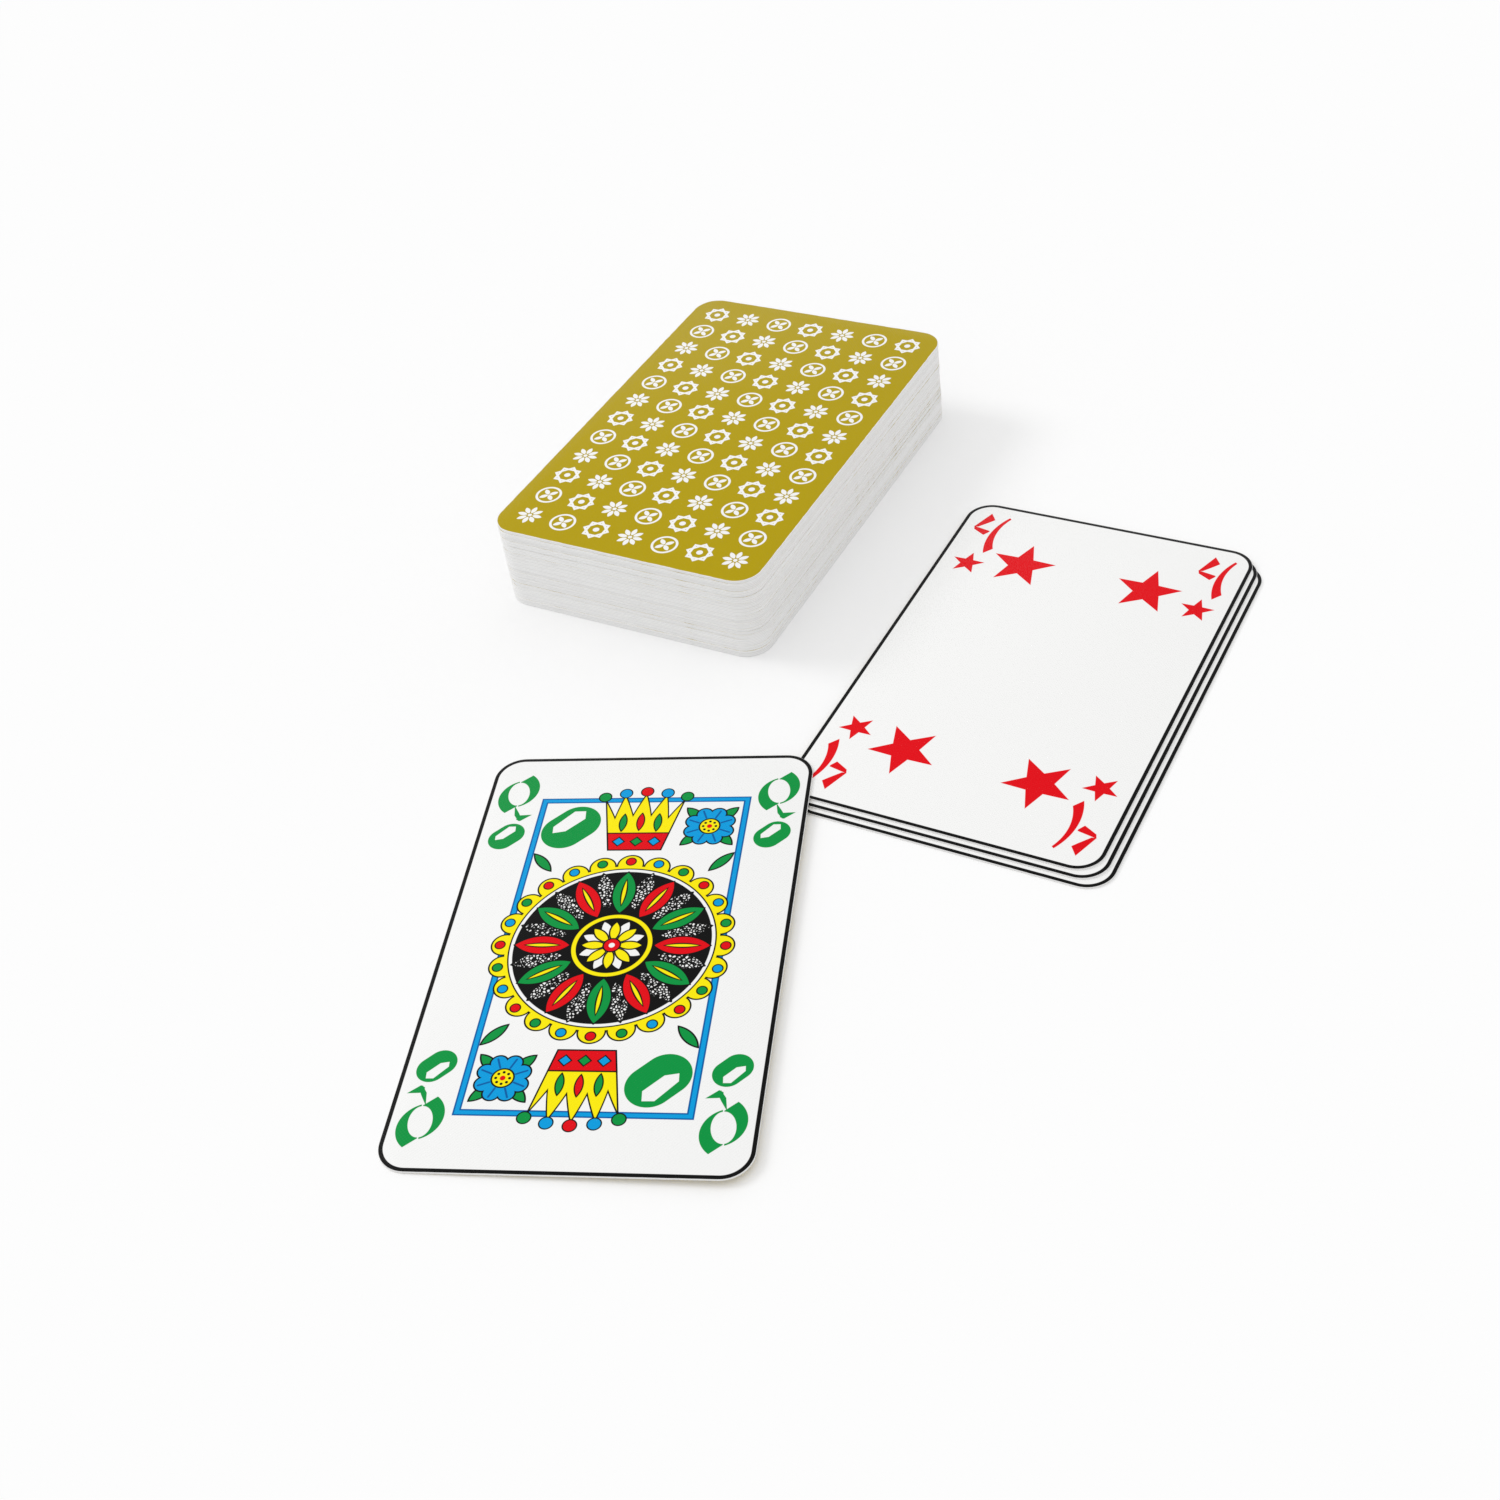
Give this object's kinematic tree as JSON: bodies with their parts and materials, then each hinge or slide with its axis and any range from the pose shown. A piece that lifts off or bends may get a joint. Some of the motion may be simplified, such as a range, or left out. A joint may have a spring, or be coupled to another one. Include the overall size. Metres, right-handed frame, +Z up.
{
  "type": "card game deck",
  "caption": "Bridge-size playing cards laid out for play: a squared face-down draw pile, a staggered face-up discard pile and a loose court card leaning on its corner.",
  "frame": {"origin": "middle of the draw pile's underside, on the table", "axes": "+X across the cards towards the discard pile, +Y along the cards away from the player, +Z up"},
  "size_m": [0.1364, 0.2115, 0.0178],
  "materials": {
    "card_back": "coated playing-card board, olive-gold back print",
    "card_face": "coated playing-card board, white face"
  },
  "bodies": {
    "court_card": {"court_card": "card_face"},
    "discard_card_1": {"discard_card_1": "card_face"},
    "discard_card_2": {"discard_card_2": "card_face"},
    "discard_card_3": {"discard_card_3": "card_face"},
    "draw_card_01": {"draw_card_01": "card_back"},
    "draw_card_02": {"draw_card_02": "card_back"},
    "draw_card_03": {"draw_card_03": "card_back"},
    "draw_card_04": {"draw_card_04": "card_back"},
    "draw_card_05": {"draw_card_05": "card_back"},
    "draw_card_06": {"draw_card_06": "card_back"},
    "draw_card_07": {"draw_card_07": "card_back"},
    "draw_card_08": {"draw_card_08": "card_back"},
    "draw_card_09": {"draw_card_09": "card_back"},
    "draw_card_10": {"draw_card_10": "card_back"},
    "draw_card_11": {"draw_card_11": "card_back"},
    "draw_card_12": {"draw_card_12": "card_back"},
    "draw_card_13": {"draw_card_13": "card_back"},
    "draw_card_14": {"draw_card_14": "card_back"},
    "draw_card_15": {"draw_card_15": "card_back"},
    "draw_card_16": {"draw_card_16": "card_back"},
    "draw_card_17": {"draw_card_17": "card_back"},
    "draw_card_18": {"draw_card_18": "card_back"},
    "draw_card_19": {"draw_card_19": "card_back"},
    "draw_card_20": {"draw_card_20": "card_back"},
    "draw_card_21": {"draw_card_21": "card_back"},
    "draw_card_22": {"draw_card_22": "card_back"},
    "draw_card_23": {"draw_card_23": "card_back"},
    "draw_card_24": {"draw_card_24": "card_back"},
    "draw_card_25": {"draw_card_25": "card_back"},
    "draw_card_26": {"draw_card_26": "card_back"},
    "draw_card_27": {"draw_card_27": "card_back"},
    "draw_card_28": {"draw_card_28": "card_back"},
    "draw_card_29": {"draw_card_29": "card_back"},
    "draw_card_30": {"draw_card_30": "card_back"},
    "draw_card_31": {"draw_card_31": "card_back"},
    "draw_card_32": {"draw_card_32": "card_back"},
    "draw_card_33": {"draw_card_33": "card_back"},
    "draw_card_34": {"draw_card_34": "card_back"},
    "draw_card_35": {"draw_card_35": "card_back"},
    "draw_card_36": {"draw_card_36": "card_back"},
    "draw_card_37": {"draw_card_37": "card_back"},
    "draw_card_38": {"draw_card_38": "card_back"},
    "draw_card_39": {"draw_card_39": "card_back"},
    "draw_card_40": {"draw_card_40": "card_back"},
    "draw_card_41": {"draw_card_41": "card_back"},
    "draw_card_42": {"draw_card_42": "card_back"},
    "draw_card_43": {"draw_card_43": "card_back"},
    "draw_card_44": {"draw_card_44": "card_back"},
    "draw_card_45": {"draw_card_45": "card_back"},
    "draw_card_46": {"draw_card_46": "card_back"},
    "draw_card_47": {"draw_card_47": "card_back"},
    "draw_card_48": {"draw_card_48": "card_back"},
    "draw_card_49": {"draw_card_49": "card_back"},
    "draw_card_50": {"draw_card_50": "card_back"},
    "draw_card_51": {"draw_card_51": "card_back"}
  },
  "joints": [
    {"name": "court_play", "type": "slide", "parent": "draw_card_51", "child": "court_card", "axis": [0.3526, 0.8095, 0.4694], "range_m": [0, 0.1065]},
    {"name": "discard_1_slide", "type": "slide", "parent": "discard_card_3", "child": "discard_card_1", "axis": [1, 0.0035, 0], "range_m": [0, 0.062]},
    {"name": "discard_2_slide", "type": "slide", "parent": "discard_card_3", "child": "discard_card_2", "axis": [1, 0.0035, 0], "range_m": [0, 0.062]},
    {"name": "discard_3_slide", "type": "slide", "parent": "draw_card_51", "child": "discard_card_3", "axis": [1, 0.0035, 0], "range_m": [0, 0.062]},
    {"name": "draw_01_slide", "type": "slide", "parent": "draw_card_51", "child": "draw_card_01", "axis": [-1, 0, 0], "range_m": [0, 0.062]},
    {"name": "draw_02_slide", "type": "slide", "parent": "draw_card_51", "child": "draw_card_02", "axis": [-1, 0, 0], "range_m": [0, 0.062]},
    {"name": "draw_03_slide", "type": "slide", "parent": "draw_card_51", "child": "draw_card_03", "axis": [-1, 0, 0], "range_m": [0, 0.062]},
    {"name": "draw_04_slide", "type": "slide", "parent": "draw_card_51", "child": "draw_card_04", "axis": [-1, 0, 0], "range_m": [0, 0.062]},
    {"name": "draw_05_slide", "type": "slide", "parent": "draw_card_51", "child": "draw_card_05", "axis": [-1, 0, 0], "range_m": [0, 0.062]},
    {"name": "draw_06_slide", "type": "slide", "parent": "draw_card_51", "child": "draw_card_06", "axis": [-1, 0, 0], "range_m": [0, 0.062]},
    {"name": "draw_07_slide", "type": "slide", "parent": "draw_card_51", "child": "draw_card_07", "axis": [-1, 0, 0], "range_m": [0, 0.062]},
    {"name": "draw_08_slide", "type": "slide", "parent": "draw_card_51", "child": "draw_card_08", "axis": [-1, 0, 0], "range_m": [0, 0.062]},
    {"name": "draw_09_slide", "type": "slide", "parent": "draw_card_51", "child": "draw_card_09", "axis": [-1, 0, 0], "range_m": [0, 0.062]},
    {"name": "draw_10_slide", "type": "slide", "parent": "draw_card_51", "child": "draw_card_10", "axis": [-1, 0, 0], "range_m": [0, 0.062]},
    {"name": "draw_11_slide", "type": "slide", "parent": "draw_card_51", "child": "draw_card_11", "axis": [-1, 0, 0], "range_m": [0, 0.062]},
    {"name": "draw_12_slide", "type": "slide", "parent": "draw_card_51", "child": "draw_card_12", "axis": [-1, 0, 0], "range_m": [0, 0.062]},
    {"name": "draw_13_slide", "type": "slide", "parent": "draw_card_51", "child": "draw_card_13", "axis": [-1, 0, 0], "range_m": [0, 0.062]},
    {"name": "draw_14_slide", "type": "slide", "parent": "draw_card_51", "child": "draw_card_14", "axis": [-1, 0, 0], "range_m": [0, 0.062]},
    {"name": "draw_15_slide", "type": "slide", "parent": "draw_card_51", "child": "draw_card_15", "axis": [-1, 0, 0], "range_m": [0, 0.062]},
    {"name": "draw_16_slide", "type": "slide", "parent": "draw_card_51", "child": "draw_card_16", "axis": [-1, 0, 0], "range_m": [0, 0.062]},
    {"name": "draw_17_slide", "type": "slide", "parent": "draw_card_51", "child": "draw_card_17", "axis": [-1, 0, 0], "range_m": [0, 0.062]},
    {"name": "draw_18_slide", "type": "slide", "parent": "draw_card_51", "child": "draw_card_18", "axis": [-1, 0, 0], "range_m": [0, 0.062]},
    {"name": "draw_19_slide", "type": "slide", "parent": "draw_card_51", "child": "draw_card_19", "axis": [-1, 0, 0], "range_m": [0, 0.062]},
    {"name": "draw_20_slide", "type": "slide", "parent": "draw_card_51", "child": "draw_card_20", "axis": [-1, 0, 0], "range_m": [0, 0.062]},
    {"name": "draw_21_slide", "type": "slide", "parent": "draw_card_51", "child": "draw_card_21", "axis": [-1, 0, 0], "range_m": [0, 0.062]},
    {"name": "draw_22_slide", "type": "slide", "parent": "draw_card_51", "child": "draw_card_22", "axis": [-1, 0, 0], "range_m": [0, 0.062]},
    {"name": "draw_23_slide", "type": "slide", "parent": "draw_card_51", "child": "draw_card_23", "axis": [-1, 0, 0], "range_m": [0, 0.062]},
    {"name": "draw_24_slide", "type": "slide", "parent": "draw_card_51", "child": "draw_card_24", "axis": [-1, 0, 0], "range_m": [0, 0.062]},
    {"name": "draw_25_slide", "type": "slide", "parent": "draw_card_51", "child": "draw_card_25", "axis": [-1, 0, 0], "range_m": [0, 0.062]},
    {"name": "draw_26_slide", "type": "slide", "parent": "draw_card_51", "child": "draw_card_26", "axis": [-1, 0, 0], "range_m": [0, 0.062]},
    {"name": "draw_27_slide", "type": "slide", "parent": "draw_card_51", "child": "draw_card_27", "axis": [-1, 0, 0], "range_m": [0, 0.062]},
    {"name": "draw_28_slide", "type": "slide", "parent": "draw_card_51", "child": "draw_card_28", "axis": [-1, 0, 0], "range_m": [0, 0.062]},
    {"name": "draw_29_slide", "type": "slide", "parent": "draw_card_51", "child": "draw_card_29", "axis": [-1, 0, 0], "range_m": [0, 0.062]},
    {"name": "draw_30_slide", "type": "slide", "parent": "draw_card_51", "child": "draw_card_30", "axis": [-1, 0, 0], "range_m": [0, 0.062]},
    {"name": "draw_31_slide", "type": "slide", "parent": "draw_card_51", "child": "draw_card_31", "axis": [-1, 0, 0], "range_m": [0, 0.062]},
    {"name": "draw_32_slide", "type": "slide", "parent": "draw_card_51", "child": "draw_card_32", "axis": [-1, 0, 0], "range_m": [0, 0.062]},
    {"name": "draw_33_slide", "type": "slide", "parent": "draw_card_51", "child": "draw_card_33", "axis": [-1, 0, 0], "range_m": [0, 0.062]},
    {"name": "draw_34_slide", "type": "slide", "parent": "draw_card_51", "child": "draw_card_34", "axis": [-1, 0, 0], "range_m": [0, 0.062]},
    {"name": "draw_35_slide", "type": "slide", "parent": "draw_card_51", "child": "draw_card_35", "axis": [-1, 0, 0], "range_m": [0, 0.062]},
    {"name": "draw_36_slide", "type": "slide", "parent": "draw_card_51", "child": "draw_card_36", "axis": [-1, 0, 0], "range_m": [0, 0.062]},
    {"name": "draw_37_slide", "type": "slide", "parent": "draw_card_51", "child": "draw_card_37", "axis": [-1, 0, 0], "range_m": [0, 0.062]},
    {"name": "draw_38_slide", "type": "slide", "parent": "draw_card_51", "child": "draw_card_38", "axis": [-1, 0, 0], "range_m": [0, 0.062]},
    {"name": "draw_39_slide", "type": "slide", "parent": "draw_card_51", "child": "draw_card_39", "axis": [-1, 0, 0], "range_m": [0, 0.062]},
    {"name": "draw_40_slide", "type": "slide", "parent": "draw_card_51", "child": "draw_card_40", "axis": [-1, 0, 0], "range_m": [0, 0.062]},
    {"name": "draw_41_slide", "type": "slide", "parent": "draw_card_51", "child": "draw_card_41", "axis": [-1, 0, 0], "range_m": [0, 0.062]},
    {"name": "draw_42_slide", "type": "slide", "parent": "draw_card_51", "child": "draw_card_42", "axis": [-1, 0, 0], "range_m": [0, 0.062]},
    {"name": "draw_43_slide", "type": "slide", "parent": "draw_card_51", "child": "draw_card_43", "axis": [-1, 0, 0], "range_m": [0, 0.062]},
    {"name": "draw_44_slide", "type": "slide", "parent": "draw_card_51", "child": "draw_card_44", "axis": [-1, 0, 0], "range_m": [0, 0.062]},
    {"name": "draw_45_slide", "type": "slide", "parent": "draw_card_51", "child": "draw_card_45", "axis": [-1, 0, 0], "range_m": [0, 0.062]},
    {"name": "draw_46_slide", "type": "slide", "parent": "draw_card_51", "child": "draw_card_46", "axis": [-1, 0, 0], "range_m": [0, 0.062]},
    {"name": "draw_47_slide", "type": "slide", "parent": "draw_card_51", "child": "draw_card_47", "axis": [-1, 0, 0], "range_m": [0, 0.062]},
    {"name": "draw_48_slide", "type": "slide", "parent": "draw_card_51", "child": "draw_card_48", "axis": [-1, 0, 0], "range_m": [0, 0.062]},
    {"name": "draw_49_slide", "type": "slide", "parent": "draw_card_51", "child": "draw_card_49", "axis": [-1, 0, 0], "range_m": [0, 0.062]},
    {"name": "draw_50_slide", "type": "slide", "parent": "draw_card_51", "child": "draw_card_50", "axis": [-1, 0, 0], "range_m": [0, 0.062]}
  ]
}
